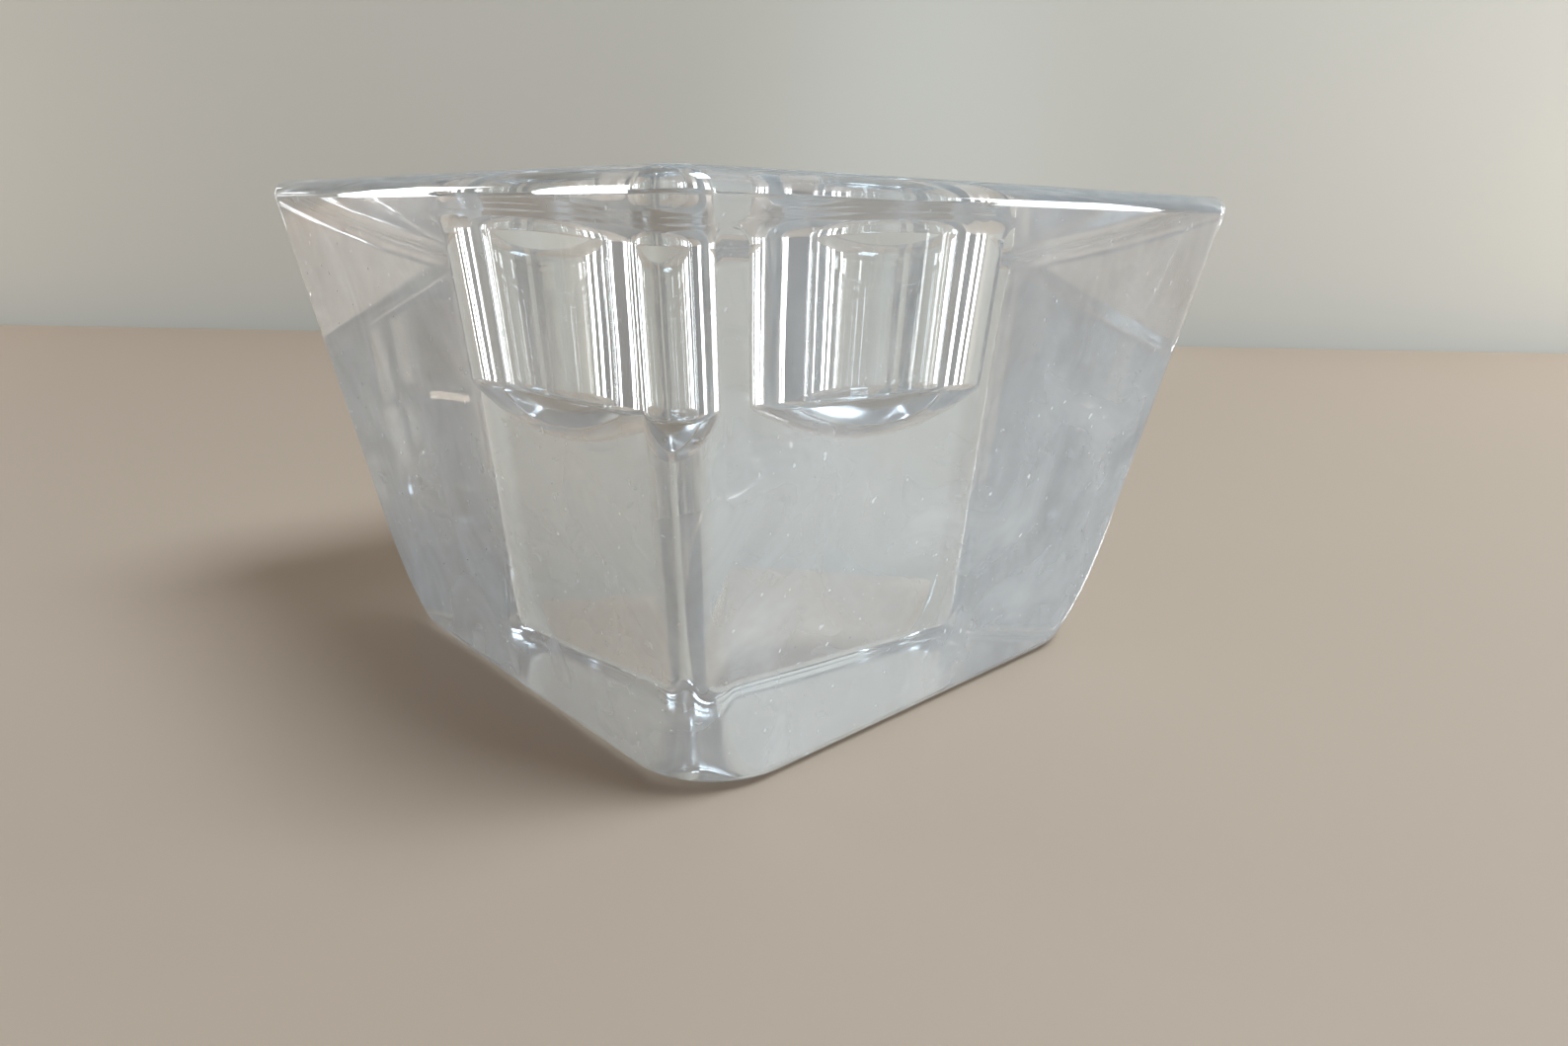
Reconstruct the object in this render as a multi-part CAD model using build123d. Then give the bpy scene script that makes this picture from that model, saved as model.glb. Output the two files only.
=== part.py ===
from build123d import *
import os

# Square tealight holder: one block of clear pressed glass, wide at the top and narrow at the base.
# Millimetres. The origin is the centre of the base, and +Z points up to the flat top.

# The block
height = 74.5
top_width = 111.5
base_width = 86.5
corner_radius = 6.0  # upright corners, from the top down to where they start to broaden
base_corner_radius = 16.5  # the same corners where they meet the base
broadening_height = 18.5  # height above the base at which the corners start to broaden
rim_radius = 2.4  # outer rim of the flat top
foot_radius = 2.6  # edge all round the base

# The candle cup, sunk in the middle of the top
mouth_diameter = 43.0
floor_diameter = 41.0
wall_depth = 24.5  # from the flat top down to the corner between wall and floor
dish_depth = 6.0  # how far the middle of the dished floor lies below that corner
lip_radius = 3.0
floor_corner_radius = 1.5

overshoot = 5.0  # how far the space of the cup is carried on above the flat top


def width_at(level):
    """Width of the block across its flat walls at a height above the base."""
    return base_width + (top_width - base_width) * level / height


def corner_radius_at(level):
    """Radius of the upright corners: a quarter of an ellipse from the base up to constant."""
    if level >= broadening_height:
        return corner_radius
    fall = 1 - level / broadening_height
    return corner_radius + (base_corner_radius - corner_radius) * (1 - (1 - fall**2) ** 0.5)


def cross_section(level):
    """Rounded square across the block at a height above the base."""
    side = width_at(level)
    return Plane.XY.offset(level) * RectangleRounded(side, side, corner_radius_at(level))


def solid_block():
    """The glass without its cup: straight walls on top of the part with broadening corners."""
    lower_levels = [broadening_height * step for step in (0, 0.2, 0.4, 0.6, 0.8, 1)]
    lower = loft([cross_section(level) for level in lower_levels], ruled=True)
    upper = loft([cross_section(broadening_height), cross_section(height)], ruled=True)
    return lower + upper


def cup_space():
    """The space of the cup: a slightly tapered wall above a floor dished like a shallow bowl."""
    floor_radius = floor_diameter / 2
    mouth_radius = mouth_diameter / 2
    taper = (mouth_radius - floor_radius) / wall_depth
    corner = (floor_radius, height - wall_depth)
    lowest = (0, height - wall_depth - dish_depth)
    dish_radius = (floor_radius**2 + dish_depth**2) / (2 * dish_depth)
    dish = RadiusArc(lowest, corner, -dish_radius)
    above = (mouth_radius + taper * overshoot, height + overshoot)
    wall = Polyline(corner, above, (0, height + overshoot), lowest)
    outline = make_face([dish, wall])
    return revolve(Plane.XZ * outline, Axis.Z)


def cup_ring(glass, level):
    """The edge that runs round the cup at a height above the base."""
    circles = glass.edges().filter_by(GeomType.CIRCLE)
    return [ring for ring in circles if ring.is_closed and abs(ring.arc_center.Z - level) < 0.01]


def glass_block():
    """The whole holder, with its rim, foot, cup lip and cup floor corner rounded."""
    glass = solid_block()
    top_rim = glass.faces().sort_by(Axis.Z)[-1].outer_wire().edges()
    glass = fillet(top_rim, rim_radius)
    foot = glass.faces().sort_by(Axis.Z)[0].outer_wire().edges()
    glass = fillet(foot, foot_radius)
    glass = glass - cup_space()
    glass = fillet(cup_ring(glass, height), lip_radius)
    glass = fillet(cup_ring(glass, height - wall_depth), floor_corner_radius)
    return glass


os.makedirs("parts", exist_ok=True)
export_step(glass_block(), "parts/glass_block.step")
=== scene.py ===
import math

import bpy
from mathutils import Matrix, Vector


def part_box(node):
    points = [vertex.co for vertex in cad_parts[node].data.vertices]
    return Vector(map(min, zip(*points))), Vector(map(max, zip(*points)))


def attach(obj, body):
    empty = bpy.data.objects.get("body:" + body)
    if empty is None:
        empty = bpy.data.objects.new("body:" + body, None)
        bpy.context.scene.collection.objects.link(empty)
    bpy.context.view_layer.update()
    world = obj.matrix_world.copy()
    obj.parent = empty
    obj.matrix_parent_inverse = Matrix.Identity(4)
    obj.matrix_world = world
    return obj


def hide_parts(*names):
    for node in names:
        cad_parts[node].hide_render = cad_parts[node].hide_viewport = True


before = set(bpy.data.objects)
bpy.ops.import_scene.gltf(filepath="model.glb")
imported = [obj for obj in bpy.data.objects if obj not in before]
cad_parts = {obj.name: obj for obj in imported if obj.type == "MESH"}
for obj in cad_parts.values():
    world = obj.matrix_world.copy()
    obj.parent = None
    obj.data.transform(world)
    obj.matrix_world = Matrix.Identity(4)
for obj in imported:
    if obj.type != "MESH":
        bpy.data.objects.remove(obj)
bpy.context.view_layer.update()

MM = 0.001

# The glass block, in metres. Its height comes from the frame, and the rest repeats the design's own sizes.
BLOCK_LOW, BLOCK_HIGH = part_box("glass_block")
HEIGHT = BLOCK_HIGH.z - BLOCK_LOW.z
TOP_WIDTH = 111.5 * MM  # across the flat walls, if they ran on to a sharp rim
BASE_WIDTH = 86.5 * MM
CORNER_RADIUS = 6 * MM
BASE_CORNER_RADIUS = 16.5 * MM
BROADENING_HEIGHT = 18.5 * MM
RIM_RADIUS = 2.4 * MM
FOOT_RADIUS = 2.6 * MM

# The candle cup
MOUTH_RADIUS = 21.5 * MM
FLOOR_RADIUS = 20.5 * MM
WALL_DEPTH = 24.5 * MM
DISH_DEPTH = 6 * MM
LIP_RADIUS = 3 * MM
FLOOR_CORNER_RADIUS = 1.5 * MM

# How finely the glass is meshed
CORNER_STEPS = 24
SIDE_STEPS = 40
RING_POINTS = 4 * (CORNER_STEPS + SIDE_STEPS)
BASE_SHARES = (0.2, 0.45, 0.7, 0.9)  # where the base has rings, from its middle to its edge
FLAT_TOP_SHARES = (0.25, 0.5, 0.75)  # where the flat top has rings, from the rim to the lip
FOOT_RINGS = 8
LOW_WALL_RINGS = 12
HIGH_WALL_RINGS = 9
RIM_RINGS = 11
LIP_RINGS = 10
CUP_WALL_RINGS = 12
CUP_CORNER_RINGS = 9
DISH_RINGS = 22

GLASS_IOR = 1.72  # above that of ordinary glass; it sets where the images of the cup fall in the walls

WALL_LEAN = math.atan((TOP_WIDTH - BASE_WIDTH) / 2 / HEIGHT)


def steps(first, last, count):
    """Evenly spaced values from first to last, both included."""
    return [first + (last - first) * i / (count - 1) for i in range(count)]


# ---------------------------------------------------------------- the glass block


def half_width_at(level):
    """Half the block's width across its flat walls."""
    return (BASE_WIDTH + (TOP_WIDTH - BASE_WIDTH) * level / HEIGHT) / 2


def corner_radius_at(level):
    """Radius of the upright corners: a quarter of an ellipse from the base up to constant."""
    if level >= BROADENING_HEIGHT:
        return CORNER_RADIUS
    fall = 1 - level / BROADENING_HEIGHT
    return CORNER_RADIUS + (BASE_CORNER_RADIUS - CORNER_RADIUS) * (1 - math.sqrt(1 - fall**2))


def square_ring(half_width, corner_radius, level):
    """Points of a rounded square, counterclockwise from the middle of the +X side."""
    half_side = half_width - corner_radius
    half_steps = SIDE_STEPS // 2
    quarter = [(half_width, half_side * i / half_steps) for i in range(half_steps)]
    for i in range(CORNER_STEPS):
        turn = math.pi / 2 * i / CORNER_STEPS
        x = half_side + corner_radius * math.cos(turn)
        y = half_side + corner_radius * math.sin(turn)
        quarter.append((x, y))
    quarter += [(half_side * (1 - i / half_steps), half_width) for i in range(half_steps)]
    ring = []
    for c, s in ((1, 0), (0, 1), (-1, 0), (0, -1)):
        ring += [Vector((c * x - s * y, s * x + c * y, level)) for x, y in quarter]
    return ring


def round_ring(radius, level):
    """Points of a circle, as many as a square ring has."""
    turns = [2 * math.pi * i / RING_POINTS for i in range(RING_POINTS)]
    return [Vector((radius * math.cos(t), radius * math.sin(t), level)) for t in turns]


def wall_ring(level):
    return square_ring(half_width_at(level), corner_radius_at(level), level)


def edge_rings(radius, level, first_turn, last_turn, count):
    """Rings round a rounded outer edge whose arc is centred at a height above the base."""
    centre = half_width_at(level) - radius / math.cos(WALL_LEAN)
    rings = []
    for turn in steps(first_turn, last_turn, count):
        z = level + radius * math.sin(turn)
        half_width = centre + radius * math.cos(turn)
        inset = half_width_at(z) - half_width
        rings.append(square_ring(half_width, corner_radius_at(z) - inset, z))
    return rings


def outside_rings():
    """Rings from the middle of the base, up the walls and over the rim."""
    foot = edge_rings(FOOT_RADIUS, FOOT_RADIUS, -math.pi / 2, -WALL_LEAN, FOOT_RINGS)
    rim = edge_rings(RIM_RADIUS, HEIGHT - RIM_RADIUS, -WALL_LEAN, math.pi / 2, RIM_RINGS)
    base = [[Vector((p.x * share, p.y * share, 0)) for p in foot[0]] for share in BASE_SHARES]
    low_walls = [wall_ring(z) for z in steps(foot[-1][0].z, BROADENING_HEIGHT, LOW_WALL_RINGS)[1:]]
    high_walls = [wall_ring(z) for z in steps(BROADENING_HEIGHT, rim[0][0].z, HIGH_WALL_RINGS)[1:-1]]
    return base + foot + low_walls + high_walls + rim


def cup_profile():
    """(radius, height) from the flat top, over the lip, down the wall and across the dished floor."""
    corner_level = HEIGHT - WALL_DEPTH
    taper = math.atan((MOUTH_RADIUS - FLOOR_RADIUS) / WALL_DEPTH)

    def wall_radius(level):
        return FLOOR_RADIUS + (level - corner_level) * math.tan(taper)

    profile = []
    lip_level = HEIGHT - LIP_RADIUS
    lip_centre = wall_radius(lip_level) + LIP_RADIUS / math.cos(taper)
    for turn in steps(math.pi / 2, math.pi - taper, LIP_RINGS):
        profile.append((lip_centre + LIP_RADIUS * math.cos(turn), lip_level + LIP_RADIUS * math.sin(turn)))

    dish_radius = (FLOOR_RADIUS**2 + DISH_DEPTH**2) / (2 * DISH_DEPTH)
    dish_centre = corner_level - DISH_DEPTH + dish_radius

    def corner_centre(level):
        return wall_radius(level) - FLOOR_CORNER_RADIUS / math.cos(taper)

    # The corner's arc is centred where it touches both the wall and the dish: found by halving
    low, high = corner_level, corner_level + 4 * FLOOR_CORNER_RADIUS
    for _ in range(50):
        level = (low + high) / 2
        if math.hypot(corner_centre(level), level - dish_centre) > dish_radius - FLOOR_CORNER_RADIUS:
            low = level
        else:
            high = level
    dish_turn = math.atan2(level - dish_centre, corner_centre(level))
    corner = []
    for turn in steps(-taper, dish_turn, CUP_CORNER_RINGS):
        radius = corner_centre(level) + FLOOR_CORNER_RADIUS * math.cos(turn)
        corner.append((radius, level + FLOOR_CORNER_RADIUS * math.sin(turn)))
    profile += [(wall_radius(z), z) for z in steps(profile[-1][1], corner[0][1], CUP_WALL_RINGS)[1:-1]]
    profile += corner
    for turn in steps(dish_turn, -math.pi / 2, DISH_RINGS)[1:-1]:
        profile.append((dish_radius * math.cos(turn), dish_centre + dish_radius * math.sin(turn)))
    return profile, dish_centre - dish_radius


def glass_mesh():
    """One closed skin: base, walls, rim, flat top, cup wall and dished floor."""
    outside = outside_rings()
    profile, lowest = cup_profile()
    cup = [round_ring(radius, level) for radius, level in profile]
    flat_top = [[a.lerp(b, share) for a, b in zip(outside[-1], cup[0])] for share in FLAT_TOP_SHARES]
    rings = outside + flat_top + cup
    points = [p for ring in rings for p in ring]
    faces = []
    for r in range(len(rings) - 1):
        for i in range(RING_POINTS):
            j = (i + 1) % RING_POINTS
            here, above = r * RING_POINTS, (r + 1) * RING_POINTS
            faces.append((here + i, here + j, above + j, above + i))
    last = (len(rings) - 1) * RING_POINTS
    base_middle, floor_middle = len(points), len(points) + 1
    points += [Vector((0, 0, 0)), Vector((0, 0, lowest))]
    for i in range(RING_POINTS):
        j = (i + 1) % RING_POINTS
        faces.append((base_middle, j, i))
        faces.append((floor_middle, last + i, last + j))
    mesh = bpy.data.meshes.new("holder_glass")
    mesh.from_pydata(points, [], faces)
    mesh.shade_smooth()
    return mesh


# ---------------------------------------------------------------- the glass


def ramp(material, value, span, results):
    """A value turned evenly from one span into another, and level beyond both ends."""
    node = material.node_tree.nodes.new("ShaderNodeMapRange")
    node.inputs["From Min"].default_value = span[0]
    node.inputs["From Max"].default_value = span[1]
    node.inputs["To Min"].default_value = results[0]
    node.inputs["To Max"].default_value = results[1]
    material.node_tree.links.new(value, node.inputs["Value"])
    return node.outputs["Result"]


def noise(material, place, scale, detail, distortion=0):
    node = material.node_tree.nodes.new("ShaderNodeTexNoise")
    node.inputs["Scale"].default_value = scale
    node.inputs["Detail"].default_value = detail
    node.inputs["Distortion"].default_value = distortion
    material.node_tree.links.new(place, node.inputs["Vector"])
    return node.outputs["Fac"]


def maths(material, operation, first, second=0):
    """One Math node. Each input is a number or another node's output."""
    node = material.node_tree.nodes.new("ShaderNodeMath")
    node.operation = operation
    for socket, value in zip(node.inputs, (first, second)):
        if isinstance(value, (int, float)):
            socket.default_value = value
        else:
            material.node_tree.links.new(value, socket)
    return node.outputs["Value"]


def product(material, *factors):
    result = factors[0]
    for factor in factors[1:]:
        result = maths(material, "MULTIPLY", result, factor)
    return result


def outside_cup(material, axes):
    """0 in the cup, rising to 1 across its lip and beyond."""
    x_squared = product(material, axes["X"], axes["X"])
    y_squared = product(material, axes["Y"], axes["Y"])
    from_middle = maths(material, "SQRT", maths(material, "ADD", x_squared, y_squared))
    return ramp(material, from_middle, (MOUTH_RADIUS, MOUTH_RADIUS + 3 * LIP_RADIUS), (0, 1))


def film_share(material, place, axes, outside):
    """How much of the surface is veiled by smudges and dust: most low on the walls, none underneath."""
    smudges = ramp(material, noise(material, place, 45, 4, 0.8), (0.35, 0.7), (0.14, 0.34))
    specks = ramp(material, noise(material, place, 700, 1), (0.74, 0.79), (0, 0.4))
    low_walls = ramp(material, axes["Z"], (40 * MM, 60 * MM), (1.2, 0.7))
    wiped_top = ramp(material, axes["Z"], (HEIGHT - 3 * MM, HEIGHT), (1, 0.4))
    clear_base = ramp(material, axes["Z"], (0.5 * MM, 2.5 * MM), (0, 1))
    dirt = maths(material, "ADD", smudges, specks)
    return product(material, dirt, low_walls, wiped_top, clear_base, outside)


def surface_roughness(material, place, axes, outside):
    """Slightly matt underneath, a little uneven where hands touch, and polished in the cup."""
    underside = ramp(material, axes["Z"], (0.2 * MM, 1.2 * MM), (0.12, 0))
    handled = ramp(material, noise(material, place, 90, 3, 0.5), (0.4, 0.75), (0, 0.05))
    return maths(material, "ADD", underside, product(material, handled, outside))


def pressed_waves(material, place):
    """The gentle waviness that pressing leaves in the walls."""
    waves = material.node_tree.nodes.new("ShaderNodeBump")
    waves.inputs["Strength"].default_value = 0.15
    waves.inputs["Distance"].default_value = 0.3 * MM
    material.node_tree.links.new(noise(material, place, 55, 1), waves.inputs["Height"])
    return waves.outputs["Normal"]


def clear_glass():
    """Clear pressed glass with a thin, smudged film of handling and dust outside the cup."""
    material = bpy.data.materials.new("clear_glass")
    material.use_nodes = True
    nodes, links = material.node_tree.nodes, material.node_tree.links
    shader = nodes["Principled BSDF"]
    shader.inputs["Base Color"].default_value = (0.97, 0.985, 0.985, 1)
    shader.inputs["IOR"].default_value = GLASS_IOR

    place = nodes.new("ShaderNodeTexCoord").outputs["Object"]
    split = nodes.new("ShaderNodeSeparateXYZ")
    links.new(place, split.inputs["Vector"])
    axes = split.outputs
    outside = outside_cup(material, axes)
    film = film_share(material, place, axes, outside)
    links.new(maths(material, "SUBTRACT", 1, film), shader.inputs["Transmission Weight"])
    links.new(surface_roughness(material, place, axes, outside), shader.inputs["Roughness"])
    links.new(pressed_waves(material, place), shader.inputs["Normal"])
    return material


def make_holder():
    holder = bpy.data.objects.new("holder_glass", glass_mesh())
    bpy.context.scene.collection.objects.link(holder)
    normals = holder.modifiers.new("even_normals", "WEIGHTED_NORMAL")
    normals.mode = "FACE_AREA"
    holder.data.materials.append(clear_glass())
    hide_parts("glass_block")
    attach(holder, "root")


# ---------------------------------------------------------------- the camera and the studio

CAMERA_HEADING = math.radians(42.86)  # from +Y towards +X
CAMERA_PITCH = math.radians(-16.95)
CAMERA_ROLL = math.radians(1.05)
CAMERA_BEARING = math.radians(40.27)  # of the holder, seen from the camera
CAMERA_DISTANCE = 167.4 * MM
CAMERA_HEIGHT = 69.8 * MM
CAMERA_LENS = 22.8
SENSOR_WIDTH = 36  # millimetres, as the lens is

# Metres, from the middle of the base as the camera sees it. A place is (to the right, further away, up).
FLOOR_COLOUR = (0.42, 0.305, 0.22)
FLOOR_NEAR = -2
FLOOR_FAR = 0.45
FLOOR_SIDE = 2
FLOOR_LEVEL = -0.2 * MM
BACKDROP_COLOUR = (0.53, 0.475, 0.40)
BACKDROP_DISTANCE = 0.48
BACKDROP_SIDE = 3
BACKDROP_LOW = -1
BACKDROP_HIGH = 2

PANEL_SIDE = 0.6  # of the two large square lights
WINDOW_PLACE = (0.66, -0.35, 1.3)
WINDOW_POWER = 27
WINDOW_COLOUR = (0.66, 0.84, 1.0)
FILL_PLACE = (-0.45, -1.0, 0.5)
FILL_POWER = 0.9
FILL_COLOUR = (1.0, 0.82, 0.62)
WORLD_COLOUR = (0.92, 0.95, 1.0)
WORLD_STRENGTH = 0.2

# A pool of cool light at the foot of the backdrop, seen through the right wall of the glass
POOL_PLACE = (0.08, 0.22, 0.8)
POOL_AIM = (0.085, 0.44, 0)
POOL_CONE = math.radians(24)
POOL_POWER = 15
POOL_COLOUR = (0.55, 0.80, 1.0)

# Upright light panels round the holder, which show as streaks in the wall of the cup
STRIP_DISTANCE = 0.8
STRIP_HEIGHT = 0.27
STRIP_RADIANCE = 10
STRIP_COLOUR = (0.93, 0.97, 1.0)
STRIPS = (  # degrees from straight ahead towards the right, and width
    (-80, 0.10),
    (-68, 0.07),
    (-52, 0.07),
    (46, 0.06),
    (64, 0.09),
    (82, 0.13),
    (117, 0.06),
)

LONGEST_LIGHT_PATH = 40  # light crosses the block many times by inner reflection


def make_camera():
    data = bpy.data.cameras.new("camera")
    data.sensor_fit = "HORIZONTAL"
    data.sensor_width = SENSOR_WIDTH
    data.lens = CAMERA_LENS
    data.clip_start = 1 * MM
    camera = bpy.data.objects.new("camera", data)
    bpy.context.scene.collection.objects.link(camera)
    turn = Matrix.Rotation(-CAMERA_HEADING, 4, "Z")
    tilt = Matrix.Rotation(math.pi / 2 + CAMERA_PITCH, 4, "X")
    roll = Matrix.Rotation(CAMERA_ROLL, 4, "Z")
    place = Vector((-math.sin(CAMERA_BEARING), -math.cos(CAMERA_BEARING), 0)) * CAMERA_DISTANCE
    place.z = CAMERA_HEIGHT
    camera.matrix_world = Matrix.Translation(place) @ turn @ tilt @ roll
    bpy.context.scene.camera = camera


def studio_place(right, ahead, height):
    """A point given from the holder, as the camera sees it: to the right, further away, and up."""
    heading = CAMERA_HEADING
    return Vector((
        right * math.cos(heading) + ahead * math.sin(heading),
        -right * math.sin(heading) + ahead * math.cos(heading),
        height,
    ))


def plain_material(name, colour, roughness):
    material = bpy.data.materials.new(name)
    material.use_nodes = True
    shader = material.node_tree.nodes["Principled BSDF"]
    shader.inputs["Base Color"].default_value = (*colour, 1)
    shader.inputs["Roughness"].default_value = roughness
    return material


def make_plane(name, corners, material):
    mesh = bpy.data.meshes.new(name)
    mesh.from_pydata(corners, [], [(0, 1, 2, 3)])
    mesh.materials.append(material)
    plane = bpy.data.objects.new(name, mesh)
    bpy.context.scene.collection.objects.link(plane)


def aim_light(data, place, aim):
    """Puts a light in the scene, shining from place towards aim."""
    light = bpy.data.objects.new(data.name, data)
    bpy.context.scene.collection.objects.link(light)
    light.location = place
    light.rotation_euler = (aim - place).to_track_quat("-Z", "Y").to_euler()


def soft_light(name, place, aim, width, height, power, colour):
    data = bpy.data.lights.new(name, "AREA")
    data.shape = "RECTANGLE"
    data.size = width
    data.size_y = height
    data.energy = power
    data.color = colour
    aim_light(data, place, aim)


def square_light(name, place, power, colour):
    middle = Vector((0, 0, HEIGHT / 2))
    soft_light(name, studio_place(*place), middle, PANEL_SIDE, PANEL_SIDE, power, colour)


def strip_light(bearing, width):
    turn = math.radians(bearing)
    middle = STRIP_HEIGHT / 2
    place = studio_place(STRIP_DISTANCE * math.sin(turn), STRIP_DISTANCE * math.cos(turn), middle)
    power = STRIP_RADIANCE * math.pi * width * STRIP_HEIGHT
    soft_light("strip", place, Vector((0, 0, middle)), width, STRIP_HEIGHT, power, STRIP_COLOUR)


def pool_light():
    data = bpy.data.lights.new("pool", "SPOT")
    data.spot_size = POOL_CONE
    data.spot_blend = 1
    data.shadow_soft_size = 0.05
    data.energy = POOL_POWER
    data.color = POOL_COLOUR
    aim_light(data, studio_place(*POOL_PLACE), studio_place(*POOL_AIM))


def make_floor():
    corners = (
        (-FLOOR_SIDE, FLOOR_NEAR),
        (FLOOR_SIDE, FLOOR_NEAR),
        (FLOOR_SIDE, FLOOR_FAR),
        (-FLOOR_SIDE, FLOOR_FAR),
    )
    places = [studio_place(right, ahead, FLOOR_LEVEL) for right, ahead in corners]
    make_plane("floor", places, plain_material("pale_floor", FLOOR_COLOUR, 0.6))


def make_backdrop():
    corners = (
        (-BACKDROP_SIDE, BACKDROP_LOW),
        (BACKDROP_SIDE, BACKDROP_LOW),
        (BACKDROP_SIDE, BACKDROP_HIGH),
        (-BACKDROP_SIDE, BACKDROP_HIGH),
    )
    places = [studio_place(right, BACKDROP_DISTANCE, height) for right, height in corners]
    make_plane("backdrop", places, plain_material("pale_wall", BACKDROP_COLOUR, 0.9))


def make_world():
    world = bpy.data.worlds.new("studio")
    world.use_nodes = True
    background = world.node_tree.nodes["Background"]
    background.inputs["Color"].default_value = (*WORLD_COLOUR, 1)
    background.inputs["Strength"].default_value = WORLD_STRENGTH
    bpy.context.scene.world = world


def make_studio():
    make_floor()
    make_backdrop()
    square_light("window", WINDOW_PLACE, WINDOW_POWER, WINDOW_COLOUR)
    square_light("fill", FILL_PLACE, FILL_POWER, FILL_COLOUR)
    pool_light()
    for bearing, width in STRIPS:
        strip_light(bearing, width)
    make_world()
    scene = bpy.context.scene
    scene.view_settings.view_transform = "Standard"
    scene.cycles.max_bounces = LONGEST_LIGHT_PATH
    scene.cycles.glossy_bounces = LONGEST_LIGHT_PATH
    scene.cycles.transmission_bounces = LONGEST_LIGHT_PATH


make_holder()
make_camera()
make_studio()
